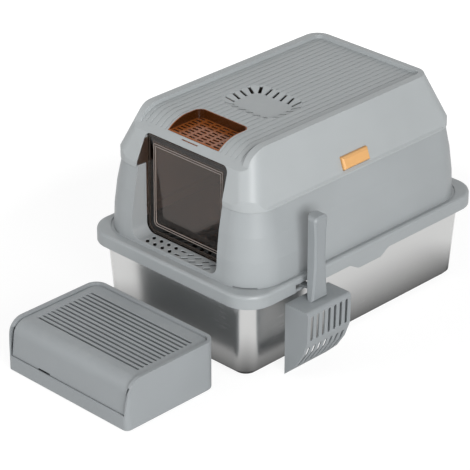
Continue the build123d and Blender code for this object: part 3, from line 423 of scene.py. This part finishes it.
def make_piece(name, points, faces, material, body):
    """Builds a closed mesh at its place, with one material, riding on one body."""
    mesh = bpy.data.meshes.new(name)
    mesh.from_pydata(points.tolist(), [], faces.tolist())
    shape = bmesh.new()
    shape.from_mesh(mesh)
    bmesh.ops.recalc_face_normals(shape, faces=shape.faces)
    shape.to_mesh(mesh)
    shape.free()
    mesh.shade_smooth()
    mesh.set_sharp_from_angle(angle=SHARP_EDGE)
    mesh.materials.append(material)
    piece = bpy.data.objects.new(name, mesh)
    bpy.context.scene.collection.objects.link(piece)
    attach(piece, body)
    print(name, "faces:", len(mesh.polygons), "on", body)
    return piece


def grid_faces(rows, columns, closed_rows):
    """Quads between neighbouring points of a grid whose columns close into rings."""
    row = np.arange(rows if closed_rows else rows - 1)[:, None]
    column = np.arange(columns)[None, :]
    after, beside = (row + 1) % rows, (column + 1) % columns
    corners = [row * columns + column, row * columns + beside,
               after * columns + beside, after * columns + column]
    return np.stack([corner.ravel() for corner in corners], axis=1)


# %% [markdown]
# ### Painted highlights on the door's ridge
# The flap has a low ridge inside its edge. Its two shoulders are drawn as a pair of pale lines, painted
# highlights for the light that runs in the clear sheet and comes out there. Each is a thin round bead,
# half sunk in the sheet, carried along an outline like the door's own.

# %% The painted highlight beads on the flap
DOOR_HALF_LOW, DOOR_HALF_HIGH, DOOR_LOW, DOOR_HIGH = 0.1006, 0.0986, 0.1825, 0.3712
CORNER_LOW, CORNER_HIGH, CORNER_SHRINK = 0.0165, 0.009, 0.5
DOOR_FACE_Y = -0.2452
OUTER_LINE, INNER_LINE, BEAD_RADIUS = 0.0145, 0.0190, 0.0007
BEAD_ARC_POINTS, BEAD_RING_POINTS = 9, 8
# The beads' pale plastic is a painted highlight.
painted_highlight_plastic = moulded_plastic("door_ridge_painted_highlight", (0.33, 0.28, 0.25), roughness=0.25, grain=300.0)


def painted_highlight_bead(name, inset):
    """Four arcs of the door's outline, pulled inwards, with a circle swept along them: each point of the
    circle leaves the outline by its radius times a cosine outwards and a sine forwards."""
    lean = np.arctan((DOOR_HALF_LOW - DOOR_HALF_HIGH) / (DOOR_HIGH - DOOR_LOW))
    radius = np.array([CORNER_LOW, CORNER_HIGH, CORNER_HIGH, CORNER_LOW]) - inset * CORNER_SHRINK
    z = np.array([DOOR_LOW + inset, DOOR_HIGH - inset, DOOR_HIGH - inset, DOOR_LOW + inset])
    z = z + radius * np.array([1, -1, -1, 1])
    x = DOOR_HALF_LOW - np.tan(lean) * (z - DOOR_LOW) - (radius + inset) / np.cos(lean)
    x = x * np.array([1, 1, -1, -1])
    start = np.array([-np.pi / 2, lean, np.pi / 2, np.pi - lean])
    finish = np.array([lean, np.pi / 2, np.pi - lean, 1.5 * np.pi])
    angle = start[:, None] + (finish - start)[:, None] * np.linspace(0, 1, BEAD_ARC_POINTS)
    outwards = np.stack([np.cos(angle), np.zeros(angle.shape), np.sin(angle)], axis=2)
    centre = np.stack([x, np.full(len(x), DOOR_FACE_Y), z], axis=1)
    path = (centre[:, None, :] + radius[:, None, None] * outwards).reshape(-1, 3)
    outwards = outwards.reshape(-1, 3)
    turn = np.linspace(0, 2 * np.pi, BEAD_RING_POINTS, endpoint=False)
    forwards = np.array([0.0, -1.0, 0.0])
    ring = BEAD_RADIUS * (np.cos(turn)[None, :, None] * outwards[:, None, :]
                          + np.sin(turn)[None, :, None] * forwards)
    points = (path[:, None, :] + ring).reshape(-1, 3)
    faces = grid_faces(len(path), len(turn), closed_rows=True)
    return make_piece(name, points, faces, painted_highlight_plastic, "door")


painted_highlight_bead("door_ridge_outer_painted_highlight", OUTER_LINE)
painted_highlight_bead("door_ridge_inner_painted_highlight", INNER_LINE)

# %% [markdown]
# ### The corners of the flange
# At each corner the flange's sheet runs on in to the foot of the fence's wall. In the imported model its
# opening is cut a little wide there and leaves a crescent open, so four plates close it. A plate lies
# between the opening's corner, an arc with a straight run after it, and the wall's foot, which is the
# same line drawn in towards the foot's centre. Where the two meet, the inner line stays a hair inside,
# so that no face has a side without length.

# %% Plates that close the flange's corners
FOOT_X, FOOT_FRONT_Y, FOOT_BACK_Y, FOOT_RADIUS = 0.1248, -0.2168, 0.2144, 0.0628
MOUTH_OFFSET, MOUTH_RADIUS, RUN_END = np.array([0.0275, 0.0382]), 0.0263, 0.0100
PLATE_LOW, PLATE_HIGH, HAIR_INSIDE = 0.1716, 0.17345, 0.9999
MOUTH_POINTS, RUN_POINTS = 17, 5


def corner_plate(name, side, end, foot_y):
    """A slab whose outer edge is the opening's corner and whose inner edge is that edge's shadow on a
    circle round the foot's centre."""
    angle = np.linspace(0, np.pi / 2, MOUTH_POINTS)
    arc = MOUTH_OFFSET + MOUTH_RADIUS * np.stack([np.cos(angle), np.sin(angle)], axis=1)
    run_x = np.linspace(MOUTH_OFFSET[0], RUN_END, RUN_POINTS + 1)[1:]
    run = np.stack([run_x, np.full(RUN_POINTS, arc[-1, 1])], axis=1)
    outer = np.concatenate([arc, run])
    reach = np.linalg.norm(outer, axis=1, keepdims=True)
    inner = outer * np.minimum(1.0, FOOT_RADIUS / reach) * HAIR_INSIDE
    edges = np.stack([inner, outer, outer, inner], axis=1) * np.array([side, end])
    edges = edges + np.array([side * FOOT_X, foot_y])
    heights = np.broadcast_to([PLATE_LOW, PLATE_LOW, PLATE_HIGH, PLATE_HIGH], edges.shape[:2])
    points = np.concatenate([edges, heights[:, :, None]], axis=2).reshape(-1, 3)
    rows, columns = edges.shape[:2]
    caps = np.array([np.arange(columns), np.arange(columns) + columns * (rows - 1)])
    faces = np.concatenate([grid_faces(rows, columns, closed_rows=False), caps])
    return make_piece(name, points, faces, fence_plastic, "fence")


for end_name, end, foot_y in (("front", -1, FOOT_FRONT_Y), ("back", 1, FOOT_BACK_Y)):
    for side_name, side in (("right", 1), ("left", -1)):
        corner_plate(f"flange_corner_{end_name}_{side_name}", side, end, foot_y)

# %% [markdown]
# ### Two corners of the pan
# The pan's round corners are of one sheet with its walls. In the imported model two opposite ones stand
# open, because the hollow was left square there, so each gets a curved sheet. It follows the pan's own
# corner: an upright arc that moves outwards as the walls widen upwards, with a bevel at the foot.

# %% Sheets that close the pan's corners
PAN_HALF, PAN_SLOPE, PAN_CORNER, PAN_SHEET = np.array([0.1725, 0.2780]), 0.057, 0.02995, 0.0008
PAN_LEVELS, PAN_BEVEL = np.array([0.0005, 0.010, 0.1710]), 0.010
PAN_ARC_START, PAN_ARC_END, PAN_ARC_POINTS = radians(4), radians(86), 25


def pan_corner(name, side):
    """At each angle of a quarter turn, a strip that rises over three levels outside and comes down again
    inside, one sheet nearer to the corner's upright centre line."""
    level = np.concatenate([PAN_LEVELS, PAN_LEVELS[::-1]])
    sheet = np.repeat([0.0, PAN_SHEET], len(PAN_LEVELS))
    radius = PAN_CORNER - np.maximum(PAN_BEVEL - level, 0.0) - sheet
    grown = PAN_HALF[:, None] + PAN_SLOPE * np.maximum(level, PAN_BEVEL) - PAN_CORNER
    angle = np.linspace(PAN_ARC_START, PAN_ARC_END, PAN_ARC_POINTS)[:, None]
    x = side * (grown[0] + radius * np.cos(angle))
    y = side * (grown[1] + radius * np.sin(angle))
    points = np.stack([x, y, np.broadcast_to(level, x.shape)], axis=2).reshape(-1, 3)
    cap = np.array([[0, 1, 4, 5], [1, 2, 3, 4]])
    last_cap = cap + len(level) * (len(angle) - 1)
    faces = np.concatenate([grid_faces(len(angle), len(level), closed_rows=False), cap, last_cap])
    return make_piece(name, points, faces, pan_steel, "pan")


pan_corner("pan_corner_back_right", 1)
pan_corner("pan_corner_front_left", -1)

# %% [markdown]
# ## Floor and light
# The object stands on a plain pale floor that runs out of view on all sides. The floor is lit as the
# object is, so it keeps the object's shadow, and for the camera it is lifted to white, all of it from
# somewhat beyond the object on. In the steel it shows as white too, except close to the pan, where a
# painted shadow makes it darker, for the little light that gets in under the skirt: that draws the dark
# foot of the steel.

# %% Floor
FLOOR_HALF, FLOOR_POINTS = 9.0, 3
across = np.linspace(-FLOOR_HALF, FLOOR_HALF, FLOOR_POINTS)
u, v = np.meshgrid(across, across)
points = np.stack([u.ravel(), v.ravel(), np.zeros(u.size)], axis=1)
first_corners = np.array([0, 1, 3, 4])
quads = first_corners[:, None] + np.array([0, 1, FLOOR_POINTS + 1, FLOOR_POINTS])
floor_mesh = bpy.data.meshes.new("floor")
floor_mesh.from_pydata(points.tolist(), [], quads.tolist())
floor = bpy.data.objects.new("floor", floor_mesh)
bpy.context.scene.collection.objects.link(floor)
print("floor:", len(quads), "faces,", 2 * FLOOR_HALF, "m across")

# %% The floor's finish
FLOOR_GREY, FLOOR_ROUGHNESS = (0.60, 0.60, 0.60, 1.0), 0.9
WHITE, WHITE_STRENGTH = (1.0, 1.0, 1.0, 1.0), 1.24
NEAR, FAR, NEAR_LIFT = 0.6, 1.2, 0.70
PAN_FOOT_HALF, SHADOW_REACH, SHADOW_LEVEL = (0.165, 0.270, 0.0), 0.12, 0.07
floor_material, tree, shader, end, position = start_material("floor_white")
fill(tree, shader, {"Base Color": FLOOR_GREY, "Roughness": FLOOR_ROUGHNESS})
white = add(tree, "Emission", {"Color": WHITE, "Strength": WHITE_STRENGTH}).outputs["Emission"]
distance = vector_maths(tree, "LENGTH", position)
lift = maths(tree, "MULTIPLY", is_ray(tree, "Camera", "Transmission"),
             ramp(tree, distance, NEAR, FAR, NEAR_LIFT, 1.0))
open_floor = mixed_shader(tree, lift, shader.outputs["BSDF"], white)
beyond_pan = vector_maths(tree, "SUBTRACT", vector_maths(tree, "ABSOLUTE", position), PAN_FOOT_HALF)
past_pan = vector_maths(tree, "LENGTH", vector_maths(tree, "MAXIMUM", beyond_pan, (0.0, 0.0, 0.0)))
# Painted shadow: the floor that the steel mirrors is darker close to the pan.
painted_shadow_level = ramp(tree, past_pan, 0.0, SHADOW_REACH, SHADOW_LEVEL, 1.0)
mirrored_painted_shadow = add(tree, "Emission", {"Color": WHITE, "Strength": painted_shadow_level}).outputs["Emission"]
fill(tree, end, {"Surface": mixed_shader(tree, is_ray(tree, "Glossy"), open_floor, mirrored_painted_shadow)})
floor_mesh.materials.append(floor_material)

# %% [markdown]
# ### Room and lamps
# The light is an even room and two large soft lamps: a strong one on the right, where the scoop hangs,
# and a weaker one before the entrance on the left. The room is white for the camera and in what mirrors
# it or is seen through, and a mid grey as a light, so that the lamps model the forms.

# %% Room light
ROOM_LIGHT = 0.42
world = bpy.data.worlds.new("room")
bpy.context.scene.world = world
world.use_nodes = True
tree = world.node_tree
tree.nodes.clear()
strength = ramp(tree, is_ray(tree, "Camera", "Glossy", "Transmission"), 0.0, 1.0, ROOM_LIGHT, 1.0)
background = add(tree, "Background", {"Color": WHITE, "Strength": strength})
add(tree, "OutputWorld", {"Surface": background.outputs["Background"]})
print("room light:", ROOM_LIGHT)

# %% Soft lamps
LAMP_AIM = (0.0, 0.0, 0.2)


def soft_lamp(name, place, size, power):
    """A square area lamp at a place, turned towards the object, with its power in watts."""
    data = bpy.data.lights.new(name, "AREA")
    data.size = size
    data.energy = power
    lamp = bpy.data.objects.new(name, data)
    lamp.location = place
    lamp.rotation_euler = (Vector(LAMP_AIM) - Vector(place)).to_track_quat("-Z", "Y").to_euler()
    bpy.context.scene.collection.objects.link(lamp)
    print(name, "at", place, "with", power, "W")
    return lamp


soft_lamp("key_lamp", place=(2.7, -1.5, 1.2), size=1.4, power=72.0)
soft_lamp("front_lamp", place=(-0.8, -2.6, 1.6), size=1.2, power=18.0)

# %% [markdown]
# ## Camera
# The photograph is taken from the front right corner with a long lens, from well above. The viewing
# angle, distance and lens come from matching the object's known edges to the picture.

# %% Camera
AZIMUTH, ELEVATION = radians(44.557), radians(27.619)
DISTANCE = 4.5729
TARGET = Vector((-0.06986, -0.05919, 0.11288))
FOCAL_PIXELS, FRAME_PIXELS, SENSOR = 2510.3, 470, 36.0
back = Vector((sin(AZIMUTH) * cos(ELEVATION), -cos(AZIMUTH) * cos(ELEVATION), sin(ELEVATION)))
right = Vector((cos(AZIMUTH), sin(AZIMUTH), 0.0))
up = back.cross(right)
turned = Matrix((right, up, back)).transposed().to_4x4()
camera_data = bpy.data.cameras.new("camera")
camera_data.sensor_width = SENSOR
camera_data.lens = FOCAL_PIXELS * SENSOR / FRAME_PIXELS
camera_data.clip_end = 100.0
camera = bpy.data.objects.new("camera", camera_data)
camera.matrix_world = Matrix.Translation(TARGET + back * DISTANCE) @ turned
bpy.context.scene.collection.objects.link(camera)
bpy.context.scene.camera = camera
bpy.context.scene.view_settings.view_transform = "Standard"
print("camera at", [round(c, 3) for c in camera.location], "lens", round(camera_data.lens, 1), "mm")
